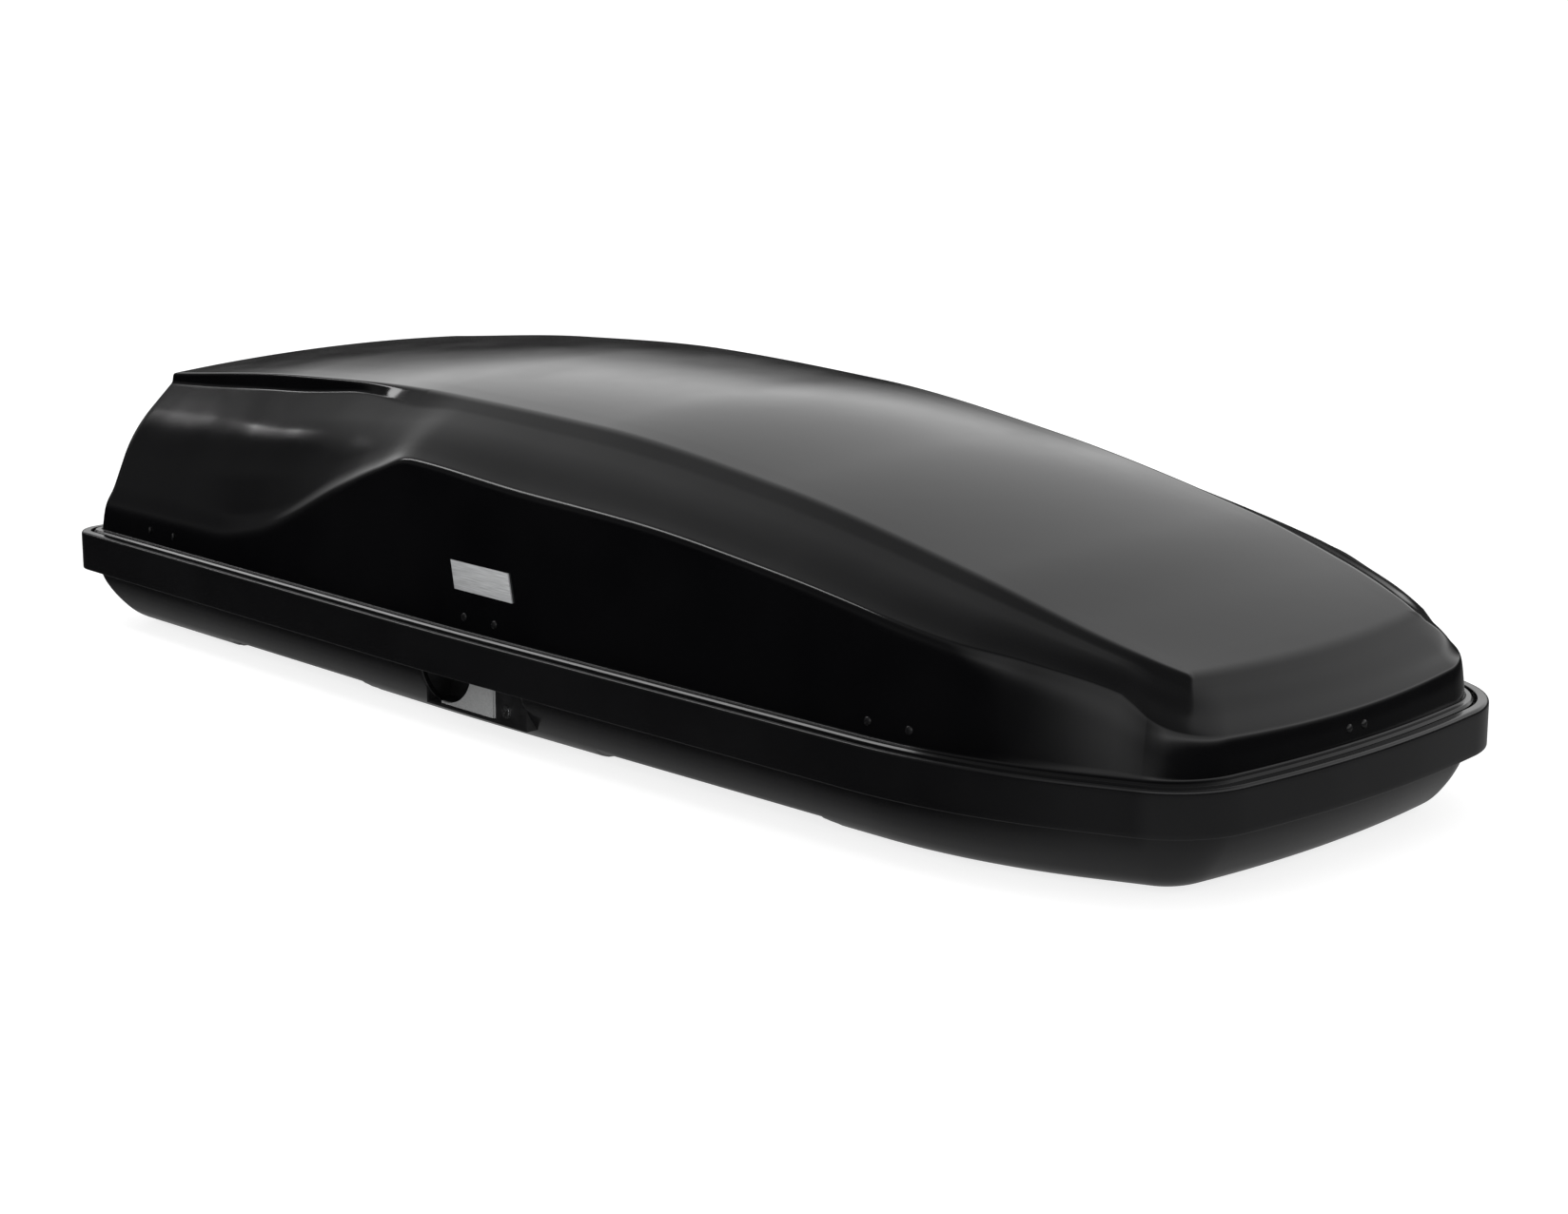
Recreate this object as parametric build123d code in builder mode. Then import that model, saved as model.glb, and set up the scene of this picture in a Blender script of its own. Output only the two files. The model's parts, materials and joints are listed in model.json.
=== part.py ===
"""Roof cargo box: keeled tray, lid that opens from either side, cross arms, lock rails and handles.

Millimetres. +X runs to the nose, +Y to the left of the car, +Z up. The origin is the middle of the
footprint, on the plane that the keels rest on. "side" is -1 for the right half and +1 for the left.
"""
from build123d import *

import os
from math import cos, radians, sin

import numpy as np

os.makedirs("parts", exist_ok=True)

# Overall size
TAIL_END = -961.0  # corners of the faint bows of the two ends, which round off to 960
NOSE_END = 970.4
HALF_WIDTH = 400.66  # corner of the side's faint bow, which rounds off to 400
SHEET = 4.0  # thickness of the moulded shells

# Plan outline of the rim band: one side's corners from tail to nose, with the radius at each
TAIL_CORNER = (-946.0, 394.0)
SIDE_BOW = (-140.0, HALF_WIDTH)
NOSE_BREAK = (690.0, 380.0)
NOSE_CORNER = (938.0, 268.0)
RADII = {"tail": 38.0, "bow": 6000.0, "break": 700.0, "nose": 120.0, "end": 1500.0}

# Rim, as heights and as distances inward from the band's outer face
BAND_BOTTOM = 78.0
BAND_TOP = 130.0
BAND_LEDGE = 13.0
GUTTER_FLOOR = 96.0
LIP_INSET = 53.0
LIP_TOP = 104.0
FLANGE_LOW = 127.0
FLANGE_INSET = 17.0
LID_WALL_INSET = 27.0

# Tray below the band: inset of the wall at four heights
TRAY_LEVELS = [(25.0, GUTTER_FLOOR - SHEET), (33.0, 44.0), (50.0, 18.0), (76.0, 0.0)]
BAR_ZONE_RISE = 16.0
BAR_ZONES = [(-656.0, -349.0), (90.0, 466.0)]  # tail and nose end of each recess for a roof bar
ZONE_SLOPE = 30.0

# Lid, above the flange
SKIRT_TOP = 165.0
WALL_LEAN = 0.11  # inward lean of the side wall, per millimetre of height
FOOT_DROP = 12.0  # how far the lid's wall is drawn on below the flange, before it is cut off
TRIM_ALLOWANCE = 1.03  # how far it is drawn outside the plan outline, before it is trimmed to it
TAIL_STEP = 17.0
ROOF_TAIL = -896.0
END_WALL = 929.0  # inner face of the lid's nose and tail walls, in the middle

# Hinge and lock line, the same on both sides
AXIS_Y = 334.0
AXIS_Z = 143.0
PIN_R = 3.0
PIN_FIT = 0.3
HUB_R = 9.5
LOCK_X = {"rear": -762.0, "middle": -75.0, "front": 588.0}
RIVET_SPREAD = 28.0
RIVET_Z = 148.0
RIVET_R = 2.5
HEAD_R = 5.0
HEAD_DEPTH = 1.5  # of the floor rivets' heads; the lower ones lie flush in the tray
BEYOND = 60.0  # how far a cutter is drawn past what it cuts
END_RIVET_Y = 13.0
HUB_TOP = 145.9
CONSOLE_Y = 300.0  # inner face of the brackets on the tray's rim
CONSOLE_WALL = 18.0
CONSOLE_GRIP = (3.0, 5.0)  # how far a bracket stands off the rim's lip, and how far below its top
CRADLE_WIDTH = 24.0
PAD_Z = (134.0, 160.0)
PAD_THICK = 2.0
PAD_REACH = 42.0
PLATE_TAB = (14.0, 17.0)  # along X, the tab that carries a lock plate's pin
END_PAD_Y = 24.0  # half width of the tongue's plate; the blade and the socket follow from it
BLADE_LOW = 104.0
SOCKET_TOP = 118.0
TONGUE_X = (912.0, 918.0)
BOW_X = {"rear": -420.0, "front": 180.0}
BOW_WIDTH = 20.0
BOW_DEPTH = 6.0
BOW_LOW = 240.0  # height where the bows' legs end
BADGE_X = -75.0
BADGE_Z = 196.0
BADGE_SIZE = (120.0, 34.0)
BADGE_THICK = 3.0

# Cross arms: a bar from a base bracket on one side to a lid bracket on the other
ARM_X = {"rear": -850.0, "front": 500.0}
ARM_SHIFT = 17.0  # the arms of the two sides pass each other in planes this far apart
ARM_THICK = 5.0
ARM_EYE_R = 9.0
ARM_GAP = 0.5
PIVOT_R = 4.0
PIVOT_FIT = 0.05
BRACKET_CHEEK = 5.0
PIVOT_END = 2.0  # thickness of a pivot's retaining head

# Lock rail, sliding through the cradles
RAIL_Y = (307.5, 310.5)
RAIL_Z = (112.0, 128.0)
RAIL_X = (-820.0, 585.0)
RAIL_TRAVEL = 20.0  # from here, with the pins free, to the hooks standing over the pins
RAIL_FIT = 0.3
HOOK_REACH = 340.0
HOOK_THICK = 3.0
HOOK_HEEL = 34.0  # from the pin, unlocked, back to the hook's heel
HOOK_LENGTH = 32.0
HEEL_LENGTH = 20.0
LUG_X = (-155.0, -135.0)
LUG_LOW = 66.0

# Handle housing in the tray's side wall
HOUSING_X = (-184.0, 8.0)
HOUSING_Z = (26.0, 77.0)
HOUSING_Y = (330.0, 368.0)
HANDLE_PIVOT = (-56.0, 361.5)
HANDLE_PIN_R = 2.5
HANDLE_EYE_R = 4.5
HANDLE_TAIL = -156.0
HANDLE_Z = (30.5, 73.5)
WALL = 3.0
BLOCK_TAIL = -50.0
BARREL = (-29.0, 44.0)
BARREL_R = 8.0
BARREL_Y = 350.0
PLUG_R = 5.0
PLUG_Y = 354.0
KEYWAY = (1.2, 7.0)
PADDLE_THICK = 4.0
PADDLE_NOTCH = (-97.0, -113.0)  # along X, top and bulge of the curved edge of the finger hole

# Floor rails with the slots for the roof-bar clamps
FLOOR_RAIL_Y = 180.0
FLOOR_RAIL_SIZE = (250.0, 50.0, 4.0)
SLOT_LENGTH = 200.0
SLOT_WIDTH = 9.0
FLOOR_TOP = BAR_ZONE_RISE + SHEET
FLOOR_RAIL_X = {"rear": -495.0, "front": 285.0}
STRAP_WIDTH = 25.0
STRAP_THICK = 1.5

SIDES = {"right": -1, "left": 1}


def outline(inset):
    """Corners and corner radii of the plan outline, with every side moved inward by inset."""
    half = [(TAIL_END, 0.0), TAIL_CORNER, SIDE_BOW, NOSE_BREAK, NOSE_CORNER, (NOSE_END, 0.0)]
    radii = [RADII[name] for name in ("end", "tail", "bow", "break", "nose", "end")]
    corners = np.array([(x, -y) for x, y in half] + half[-2:0:-1])
    radii = radii + radii[-2:0:-1]
    ahead = np.roll(corners, -1, axis=0) - corners
    ahead /= np.linalg.norm(ahead, axis=1)[:, None]
    inward = np.stack([-ahead[:, 1], ahead[:, 0]], axis=1)
    moved = []
    for index, corner in enumerate(corners):
        both = np.array([inward[index - 1], inward[index]])
        moved.append(tuple(corner + np.linalg.solve(both, [inset, inset])))
    return moved, [max(radius - inset, 18.0) for radius in radii]


def half_width(x, inset):
    """Half width of the outline at x, along its straight sides."""
    corners = outline(inset)[0][6:]
    xs, ys = zip(*sorted(corners)[:4])
    return float(np.interp(x, xs, ys))


def plan(height, inset, hole=None):
    """The outline, moved inward by inset, as a sketch at a height, with a smaller outline as its hole."""
    with BuildSketch(Plane.XY.offset(height)) as profile:
        with BuildLine():
            corners, radii = outline(inset)
            FilletPolyline(*corners, radius=radii, close=True)
        make_face()
        if hole is not None:
            with BuildLine():
                corners, radii = outline(hole)
                FilletPolyline(*corners, radius=radii, close=True)
            make_face(mode=Mode.SUBTRACT)
    return profile.sketch


def slab(inset, low, high, hole=None, mode=Mode.ADD):
    """A plate or a ring of the outline between two heights."""
    extrude(plan(low, inset, hole), amount=high - low, mode=mode)


def tray_body(inset, lift):
    """The tray as stacked frusta, each inset and lifted, for its outer or inner face."""
    for (top_inset, top), (low_inset, low) in zip(TRAY_LEVELS, TRAY_LEVELS[1:]):
        loft([plan(low + lift, low_inset + inset), plan(top + lift, top_inset + inset)], ruled=True)


def side_view(*points):
    """A closed outline in X and Z, through the whole width."""
    with BuildSketch(Plane.XZ.offset(-HALF_WIDTH)) as profile:
        Polygon(*points, align=None)
    return profile.sketch


def bar_zones(grow, rise):
    """The two cross channels under the tray that clear the roof bars."""
    for tail, nose in BAR_ZONES:
        channel = side_view(
            (tail - grow, -1), (nose + ZONE_SLOPE + grow, -1), (nose + grow, rise),
            (tail + ZONE_SLOPE / 2 - grow, rise),
        )
        extrude(channel, amount=2 * HALF_WIDTH, mode=Mode.SUBTRACT)


def block(xs, ys, zs, mode=Mode.ADD):
    """A box between two corners."""
    with Locations(((xs[0] + xs[1]) / 2, (ys[0] + ys[1]) / 2, (zs[0] + zs[1]) / 2)):
        Box(abs(xs[1] - xs[0]), abs(ys[1] - ys[0]), abs(zs[1] - zs[0]), mode=mode)


def rod(start, end, radius, mode=Mode.ADD):
    """A round bar between two points."""
    line = Vector(*end) - Vector(*start)
    with BuildSketch(Plane(origin=start, z_dir=line)) as profile:
        Circle(radius)
    extrude(profile.sketch, amount=line.length, mode=mode)


# Lid surface: feature lines along X, right and left alike
def roof_edge(x):
    """Half width and height of the crease that bounds the roof panel."""
    xs = [-960, -896, -600, -300, 0, 300, 600, 740, 828, 866, 878, 906, 934]
    ys = [250, 250, 250, 250, 245, 240, 236, 227, 211, 198, 176, 140, 70]
    zs = [328, 338, 369, 384, 378, 349, 296, 261, 237, 226, 218, 199, 168]
    return float(np.interp(x, xs, ys)), float(np.interp(x, xs, zs))


def wall_top(x):
    """Height at which the upright side wall ends: shoulder crease, then skirt at tail and nose."""
    xs = [-960, -640, -540, -375, -300, -228, -20, 190, 410, 640, 740, 838, 866, 934]
    zs = [SKIRT_TOP, SKIRT_TOP, 184, 264, 292, 320, 308, 301, 279, 247, 234, 212, 190, SKIRT_TOP]
    return float(np.interp(x, xs, zs))


def crown(x):
    """Rise of the roof's middle over its edges."""
    return float(np.interp(x, [-900, -300, 0, 300, 600, 866], [9, 18, 18, 14, 6, 0]))


def step_depth(x):
    """Height of the upright edge under the roof's tail end."""
    return float(np.interp(x, [-600, -310], [TAIL_STEP, 2.0]))


def bulge(x):
    """How far the quarter surface between skirt and roof swells outward."""
    return float(np.interp(x, [-900, -230, 740, 866], [12, 0.5, 0.5, 9]))


def lid_section(x, skin):
    """Half section of the lid at x, from below its foot up to the middle, moved inward by skin."""
    wall = half_width(x, LID_WALL_INSET + skin) + TRIM_ALLOWANCE
    edge_y, edge_z = roof_edge(x)
    edge_y, edge_z = edge_y - 0.4 * skin, edge_z - skin
    top_z = wall_top(x) - 0.6 * skin
    top_y = wall - WALL_LEAN * (top_z - FLANGE_LOW)
    top_y = max(top_y, edge_y + 4.0)
    step_z = max(edge_z - step_depth(x), top_z + 2.0)
    step_z = min(step_z, edge_z - 1.0)
    mid_y = (top_y + edge_y) / 2 + 0.8 * bulge(x)
    mid_z = (top_z + step_z) / 2 + 0.6 * bulge(x)
    mid_z = min(mid_z, (top_z + 3 * step_z) / 4)
    rise = crown(x)
    return [
        (wall + WALL_LEAN * FOOT_DROP, FLANGE_LOW - FOOT_DROP), (top_y, top_z), (mid_y, mid_z),
        (edge_y + 1.5, step_z), (edge_y, edge_z),
        (0.55 * edge_y, edge_z + 0.7 * rise), (0.0, edge_z + rise + 0.3),
    ]


# Places of the lid's cross sections along X, closest where its feature lines turn
SECTION_XS = [-950, -896, -760, -640, -540, -375, -300, -228, -100, 60, 190, 300, 410, 520, 640,
              740, 790, 838, 866, 878, 892, 906, 920, 932]


def lid_loft(skin):
    """The domed body of the lid, ruled between its cross sections."""
    sections = []
    for x in SECTION_XS:
        half = lid_section(x, skin)
        with BuildSketch(Plane.YZ.offset(x)) as section:
            Polygon(*half, *[(-y, z) for y, z in half[-2::-1]], align=None)
        sections.append(section.sketch)
    loft(sections, ruled=True)


def end_trim(skin):
    """Side view that the tail wall and the nose trim the lid to."""
    tail = skin - END_WALL - SHEET
    profile = side_view(
        (tail - 60, 100), (tail - 60, SKIRT_TOP - 8), (tail - 1, SKIRT_TOP - 8), (tail + 10, 250),
        (ROOF_TAIL - 3 + skin, 321),
        (ROOF_TAIL + skin, 500), (NOSE_END, 500), (NOSE_END, 100),
    )
    extrude(profile, amount=2 * HALF_WIDTH, mode=Mode.INTERSECT)


LOCK_RIVETS = [(x + shift, side) for side in SIDES.values() for x in LOCK_X.values()
               for shift in (-RIVET_SPREAD, RIVET_SPREAD)]

with BuildPart() as lid_void:
    lid_loft(SHEET)
    end_trim(SHEET)
    slab(LID_WALL_INSET + SHEET, FLANGE_LOW - 10, 500, mode=Mode.INTERSECT)

with BuildPart() as lid_shell:
    lid_loft(0.0)
    end_trim(0.0)
    slab(LID_WALL_INSET, FLANGE_LOW, 500, mode=Mode.INTERSECT)
    slab(FLANGE_INSET, FLANGE_LOW, FLANGE_LOW + SHEET)
    add(lid_void.part, mode=Mode.SUBTRACT)
    for x, side in LOCK_RIVETS:
        start = side * (HALF_WIDTH - 2 * BEYOND)
        rod((x, start, RIVET_Z), (x, start + side * 2 * BEYOND, RIVET_Z), RIVET_R, mode=Mode.SUBTRACT)
    for y in (-END_RIVET_Y, END_RIVET_Y):
        for way in (-1, 1):
            start = way * (END_WALL - BEYOND / 2)
            rod((start, y, RIVET_Z), (start + way * BEYOND, y, RIVET_Z), RIVET_R, mode=Mode.SUBTRACT)
lid_shell.part.label = "lid_shell"
export_step(lid_shell.part, "parts/lid_shell.step")

with BuildPart() as tray_void:
    tray_body(SHEET, SHEET)
    bar_zones(SHEET, BAR_ZONE_RISE + SHEET)


def housing_opening(side):
    """Space that the handle housing fills in the tray's side wall."""
    return HOUSING_X, (side * HOUSING_Y[0], side * (HALF_WIDTH - 2 * SHEET)), HOUSING_Z


def slot(x, y, low, high):
    """Clamp slot along X, cut between two heights."""
    with BuildSketch(Plane.XY.offset(low)) as profile:
        with Locations((x, y)):
            SlotOverall(SLOT_LENGTH, SLOT_WIDTH)
    extrude(profile.sketch, amount=high - low, mode=Mode.SUBTRACT)


def rail_rivets(x, y):
    """Places of the four rivets of one floor rail."""
    reach_x, reach_y = FLOOR_RAIL_SIZE[0] / 2 - 12, FLOOR_RAIL_SIZE[1] / 2 - 9
    return [(x + i * reach_x, y + j * reach_y) for i in (-1, 1) for j in (-1, 1)]


with BuildPart() as base_shell:
    tray_body(0.0, 0.0)
    bar_zones(0.0, BAR_ZONE_RISE)
    add(tray_void.part, mode=Mode.SUBTRACT)
    slab(BAND_LEDGE - SHEET, GUTTER_FLOOR - SHEET, GUTTER_FLOOR, hole=LIP_INSET + SHEET)
    slab(LIP_INSET, GUTTER_FLOOR, LIP_TOP, hole=LIP_INSET + SHEET)
    slab(0.0, BAND_BOTTOM, BAND_TOP, hole=SHEET)
    slab(0.0, BAND_TOP - SHEET, BAND_TOP, hole=BAND_LEDGE)
    slab(BAND_LEDGE - SHEET, GUTTER_FLOOR - SHEET, BAND_TOP, hole=BAND_LEDGE)
    for side in SIDES.values():
        block(*housing_opening(side), mode=Mode.SUBTRACT)
        for x in FLOOR_RAIL_X.values():
            slot(x, side * FLOOR_RAIL_Y, 0, FLOOR_TOP + 5)
            for place in rail_rivets(x, side * FLOOR_RAIL_Y):
                rod((*place, 0), (*place, FLOOR_TOP + 5), RIVET_R, mode=Mode.SUBTRACT)
                rod((*place, 0), (*place, BAR_ZONE_RISE + HEAD_DEPTH), HEAD_R, mode=Mode.SUBTRACT)
base_shell.part.label = "base_shell"
export_step(base_shell.part, "parts/base_shell.step")

# Floor rails, riveted over the roof-bar channels, with their clamp slots
rail_length, rail_width, rail_thick = FLOOR_RAIL_SIZE
rail_top = FLOOR_TOP + rail_thick
for end, rail_x in FLOOR_RAIL_X.items():
    for name, side in SIDES.items():
        rail_y = side * FLOOR_RAIL_Y
        along = (rail_x - rail_length / 2, rail_x + rail_length / 2)
        with BuildPart() as floor_rail:
            block(along, (rail_y - rail_width / 2, rail_y + rail_width / 2), (FLOOR_TOP, rail_top))
            for edge in (-1, 1):
                outer = rail_y + edge * rail_width / 2
                block(along, (outer, outer - edge * 3), (FLOOR_TOP, FLOOR_TOP + 3 * rail_thick))
            slot(rail_x, rail_y, FLOOR_TOP - 1, rail_top + 1)
            for place in rail_rivets(rail_x, rail_y):
                rod((*place, FLOOR_TOP), (*place, rail_top), RIVET_R, mode=Mode.SUBTRACT)
        floor_rail.part.label = f"floor_rail_{end}_{name}"
        export_step(floor_rail.part, f"parts/floor_rail_{end}_{name}.step")
    with BuildPart() as floor_rivets:
        for side in SIDES.values():
            for place in rail_rivets(rail_x, side * FLOOR_RAIL_Y):
                rod((*place, BAR_ZONE_RISE), (*place, BAR_ZONE_RISE + HEAD_DEPTH), HEAD_R)
                rod((*place, BAR_ZONE_RISE), (*place, rail_top), RIVET_R)
                rod((*place, rail_top), (*place, rail_top + HEAD_DEPTH), HEAD_R)
    floor_rivets.part.label = f"floor_rivets_{end}"
    export_step(floor_rivets.part, f"parts/floor_rivets_{end}.step")

# Luggage straps across the tray floor, between the floor rails
for end, rail_x in FLOOR_RAIL_X.items():
    span = FLOOR_RAIL_Y - rail_width / 2
    strap_top = FLOOR_TOP + STRAP_THICK
    along = (rail_x - STRAP_WIDTH / 2, rail_x + STRAP_WIDTH / 2)
    with BuildPart() as strap:
        block(along, (-span, span), (FLOOR_TOP, strap_top))
    strap.part.label = f"luggage_strap_{end}"
    export_step(strap.part, f"parts/luggage_strap_{end}.step")
    with BuildPart() as buckle:
        block((along[0] - 4, along[1] + 4), (-28, 28), (strap_top, strap_top + 9))
        fillet(buckle.edges().filter_by(Axis.Z), 4)
    buckle.part.label = f"strap_buckle_{end}"
    export_step(buckle.part, f"parts/strap_buckle_{end}.step")


def console(x, side, width, hub):
    """Bracket that clamps on the rim's lip and reaches under the hinge line, seen along X."""
    stand_off, drop = CONSOLE_GRIP
    lip = half_width(x, LIP_INSET) - stand_off
    foot_top = LIP_TOP - drop
    foot_low = GUTTER_FLOOR - 1.5 * SHEET
    back = CONSOLE_Y + CONSOLE_WALL
    points = [
        (CONSOLE_Y, foot_low), (lip, foot_low), (lip, foot_top), (back, foot_top),
        (back, AXIS_Z - hub), (AXIS_Y, AXIS_Z - hub), (AXIS_Y, HUB_TOP), (CONSOLE_Y, HUB_TOP),
    ]
    with BuildSketch(Plane.YZ.offset(x - width / 2)) as profile:
        Polygon(*[(side * y, z) for y, z in points], align=None)
        with Locations((side * AXIS_Y, AXIS_Z)):
            Circle(hub)
    extrude(profile.sketch, amount=width)
    block((x - width, x + width), (side * (RAIL_Y[0] - RAIL_FIT), side * (RAIL_Y[1] + RAIL_FIT)),
          (RAIL_Z[0] - RAIL_FIT, RAIL_Z[1] + RAIL_FIT), mode=Mode.SUBTRACT)
    add(base_shell.part, mode=Mode.SUBTRACT)


def stub(side, start, end, radius, mode=Mode.ADD):
    """Round bar on the hinge line, between two places along X."""
    low, high = sorted((start, end))
    rod((low, side * AXIS_Y, AXIS_Z), (high, side * AXIS_Y, AXIS_Z), radius, mode=mode)


# Pin cradles: open at the top, so that the lid's pins lift out
for place, x in LOCK_X.items():
    for name, side in SIDES.items():
        throat = PIN_R + PIN_FIT
        along = (x - CRADLE_WIDTH, x + CRADLE_WIDTH)
        with BuildPart() as cradle:
            console(x, side, CRADLE_WIDTH, HUB_R)
            block(along, (side * CONSOLE_Y, side * HALF_WIDTH), (HUB_TOP, HUB_TOP + BEYOND),
                  mode=Mode.SUBTRACT)
            stub(side, *along, throat, mode=Mode.SUBTRACT)
            block(along, (side * (AXIS_Y - throat), side * (AXIS_Y + throat)),
                  (AXIS_Z, HUB_TOP + BEYOND), mode=Mode.SUBTRACT)
        cradle.part.label = f"pin_cradle_{place}_{name}"
        export_step(cradle.part, f"parts/pin_cradle_{place}_{name}.step")


def pad_face(start, end):
    """Place of the inner face of a plate that lines the lid's side wall between two places."""
    nearest = min(half_width(x, LID_WALL_INSET + SHEET) for x in (start, end))
    return nearest - WALL_LEAN * (PAD_Z[1] - FLANGE_LOW) - PAD_THICK


def wall_pad(start, end, side):
    """Plate that lines the lid's side wall."""
    face = pad_face(start, end)
    block((start, end), (side * face, side * (face + 30)), PAD_Z)
    add(lid_void.part, mode=Mode.INTERSECT)
    return face


# Lock plates, riveted inside the skirt, each with a free-ended pin on the hinge line
for place, x in LOCK_X.items():
    for name, side in SIDES.items():
        with BuildPart() as lock_plate:
            face = wall_pad(x - PAD_REACH, x + PAD_REACH, side)
            for shift in (-RIVET_SPREAD, RIVET_SPREAD):
                rod((x + shift, side * (face - 1), RIVET_Z), (x + shift, side * HALF_WIDTH, RIVET_Z),
                    RIVET_R, mode=Mode.SUBTRACT)
            tab_low, tab_high = PLATE_TAB
            block((x + tab_low, x + tab_high), (side * AXIS_Y, side * (face + 1)),
                  (AXIS_Z - 5, AXIS_Z + 7))
            stub(side, x + tab_low, x + tab_high, 7.0)
            stub(side, x - tab_low, x + tab_low + 1, PIN_R)
        lock_plate.part.label = f"lock_plate_{place}_{name}"
        export_step(lock_plate.part, f"parts/lock_plate_{place}_{name}.step")

# Rivets that show on the skirt, one node a side, nose and tail
for name, side in SIDES.items():
    with BuildPart() as lid_rivets:
        for x, rivet_side in LOCK_RIVETS:
            if rivet_side == side:
                lock_x = min(LOCK_X.values(), key=lambda place: abs(place - x))
                inner = pad_face(lock_x - PAD_REACH, lock_x + PAD_REACH) - 1.5
                outer = half_width(x, LID_WALL_INSET) - WALL_LEAN * (RIVET_Z - FLANGE_LOW)
                rod((x, side * inner, RIVET_Z), (x, side * outer, RIVET_Z), RIVET_R)
                rod((x, side * (outer - 2), RIVET_Z), (x, side * (outer + 1.6), RIVET_Z), HEAD_R)
        add(lid_shell.part, mode=Mode.SUBTRACT)
    lid_rivets.part.label = f"lid_rivets_{name}"
    export_step(lid_rivets.part, f"parts/lid_rivets_{name}.step")

# Locating tongue and socket in the middle of each end
for end, way in {"nose": 1, "tail": -1}.items():
    start = way * (END_WALL - BEYOND / 2)
    plate_low = FLANGE_LOW + 5
    blade_top_y, blade_low_y = END_PAD_Y - 10, END_PAD_Y - 15
    with BuildPart() as tongue:
        block((way * (END_WALL - 9), way * (END_WALL + 10)), (-END_PAD_Y, END_PAD_Y),
              (plate_low, RIVET_Z + 12))
        add(lid_void.part, mode=Mode.INTERSECT)
        block((way * TONGUE_X[0], way * (END_WALL - 8)), (-END_PAD_Y, END_PAD_Y),
              (plate_low, plate_low + SHEET))
        with BuildSketch(Plane.YZ.offset(way * TONGUE_X[0])) as blade:
            Polygon((-blade_top_y, plate_low + 1), (blade_top_y, plate_low + 1),
                    (blade_low_y, BLADE_LOW), (-blade_low_y, BLADE_LOW), align=None)
        extrude(blade.sketch, amount=way * (TONGUE_X[1] - TONGUE_X[0]))
        for y in (-END_RIVET_Y, END_RIVET_Y):
            rod((start, y, RIVET_Z), (start + way * BEYOND, y, RIVET_Z), RIVET_R, mode=Mode.SUBTRACT)
    tongue.part.label = f"locator_tongue_{end}"
    export_step(tongue.part, f"parts/locator_tongue_{end}.step")

    with BuildPart() as end_rivets:
        for y in (-END_RIVET_Y, END_RIVET_Y):
            rod((way * (END_WALL - 11), y, RIVET_Z), (way * (END_WALL + 5.2), y, RIVET_Z), RIVET_R)
            rod((way * (END_WALL + 2), y, RIVET_Z), (way * (END_WALL + 5.6), y, RIVET_Z), HEAD_R)
        add(lid_shell.part, mode=Mode.SUBTRACT)
    end_rivets.part.label = f"lid_rivets_{end}"
    export_step(end_rivets.part, f"parts/lid_rivets_{end}.step")

    with BuildPart() as socket:
        block((way * (TONGUE_X[0] - 4), way * (TONGUE_X[1] + 4)), (-END_PAD_Y - 2, END_PAD_Y + 2),
              (GUTTER_FLOOR, SOCKET_TOP))
        block((way * (TONGUE_X[0] - 1.5), way * (TONGUE_X[1] + 1.5)), (-END_PAD_Y + 6, END_PAD_Y - 6),
              (GUTTER_FLOOR + 3, SOCKET_TOP + 2), mode=Mode.SUBTRACT)
    socket.part.label = f"locator_socket_{end}"
    export_step(socket.part, f"parts/locator_socket_{end}.step")

# Inner bows that stiffen the roof
for end, bow_x in BOW_X.items():
    with BuildPart() as bow:
        hoop = []
        for skin in (SHEET - 1, SHEET + BOW_DEPTH):
            half = lid_section(bow_x, skin)
            with BuildSketch(Plane.YZ.offset(bow_x - BOW_WIDTH / 2)) as section:
                Polygon(*half, *[(-y, z) for y, z in half[-2::-1]], align=None)
            hoop.append(section.sketch)
        extrude(hoop[0], amount=BOW_WIDTH)
        extrude(hoop[1], amount=BOW_WIDTH, mode=Mode.SUBTRACT)
        block((bow_x - BOW_WIDTH, bow_x + BOW_WIDTH), (-HALF_WIDTH, HALF_WIDTH), (BAND_BOTTOM, BOW_LOW),
              mode=Mode.SUBTRACT)
        add(lid_void.part, mode=Mode.INTERSECT)
    bow.part.label = f"lid_bow_{end}"
    export_step(bow.part, f"parts/lid_bow_{end}.step")

# Plain badge plates on the side walls
for name, side in SIDES.items():
    wall_y = half_width(BADGE_X, LID_WALL_INSET) - WALL_LEAN * (BADGE_Z - FLANGE_LOW)
    badge_plane = Plane(
        origin=(BADGE_X, side * wall_y, BADGE_Z), x_dir=(1, 0, 0), z_dir=(0, side, WALL_LEAN)
    )
    length_x, height_z = BADGE_SIZE
    with BuildPart() as badge:
        with BuildSketch(badge_plane.offset(-1)):
            slant = height_z / 3
            Polygon(
                (-length_x / 2, side * -height_z / 2), (length_x / 2 - slant, side * -height_z / 2),
                (length_x / 2, side * height_z / 2), (slant - length_x / 2, side * height_z / 2),
                align=None,
            )
        extrude(amount=BADGE_THICK)
        add(lid_shell.part, mode=Mode.SUBTRACT)
    badge.part.label = f"side_badge_{name}"
    export_step(badge.part, f"parts/side_badge_{name}.step")

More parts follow.
